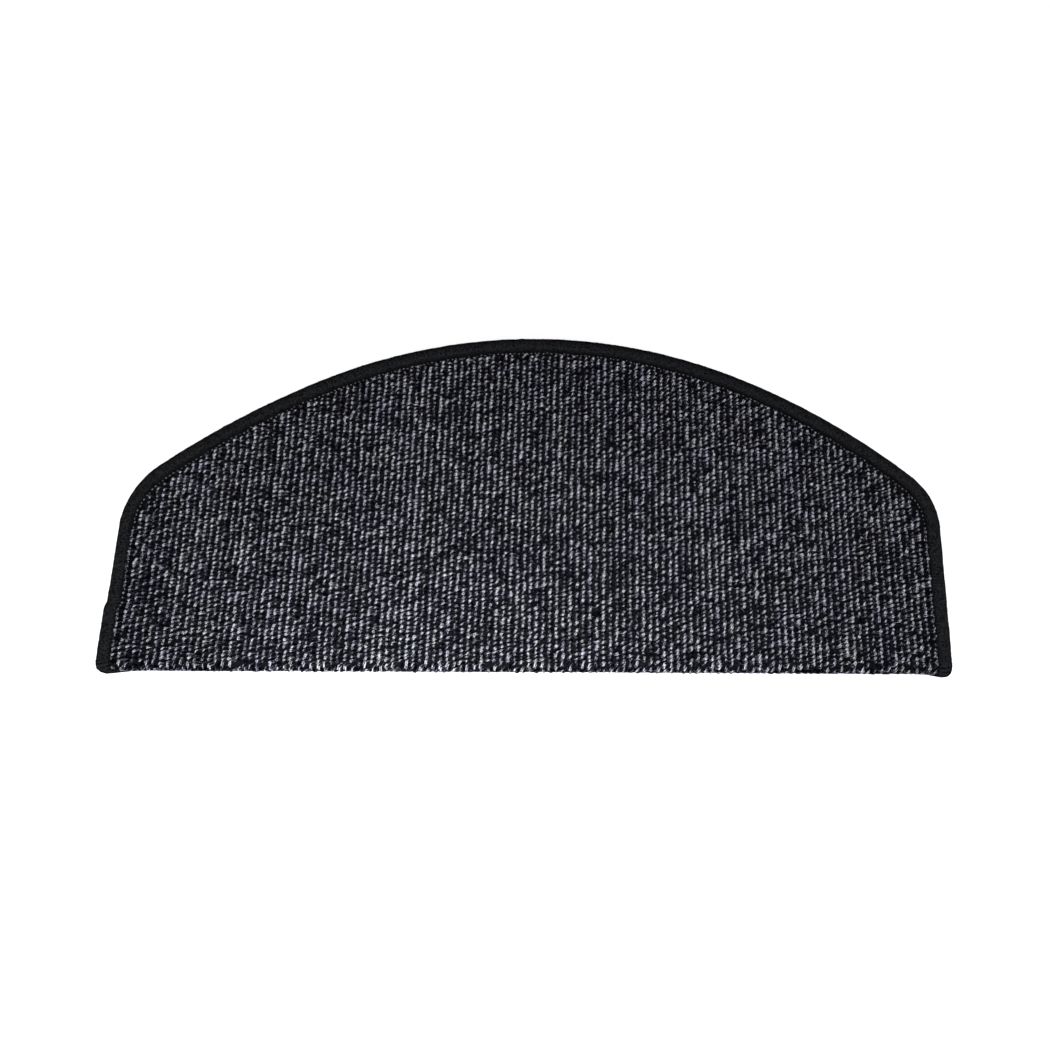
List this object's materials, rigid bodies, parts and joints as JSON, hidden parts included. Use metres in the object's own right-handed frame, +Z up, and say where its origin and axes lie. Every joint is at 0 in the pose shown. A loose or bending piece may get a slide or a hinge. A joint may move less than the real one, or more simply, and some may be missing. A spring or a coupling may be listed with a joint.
{
  "type": "anti slip stair tread mat",
  "caption": "Half-moon ribbed loop-pile stair tread mat with a thick serged edge, folded down over the stair nosing at the front.",
  "frame": {"origin": "under the middle of the mat, level with the lower edge of the lip", "axes": "+Z up out of the tread, +Y to the back of the stair, X along the nosing"},
  "size_m": [0.6518, 0.275, 0.0422],
  "materials": {
    "loop_pile": "heather loop pile in dark grey, light grey and black yarn",
    "serging_yarn": "matt black overlocked yarn",
    "nosing_strip": "fine matt grain"
  },
  "bodies": {
    "root": {"carpet_tread": "loop_pile", "edge_binding": "serging_yarn", "nosing_angle": "nosing_strip"}
  },
  "joints": []
}
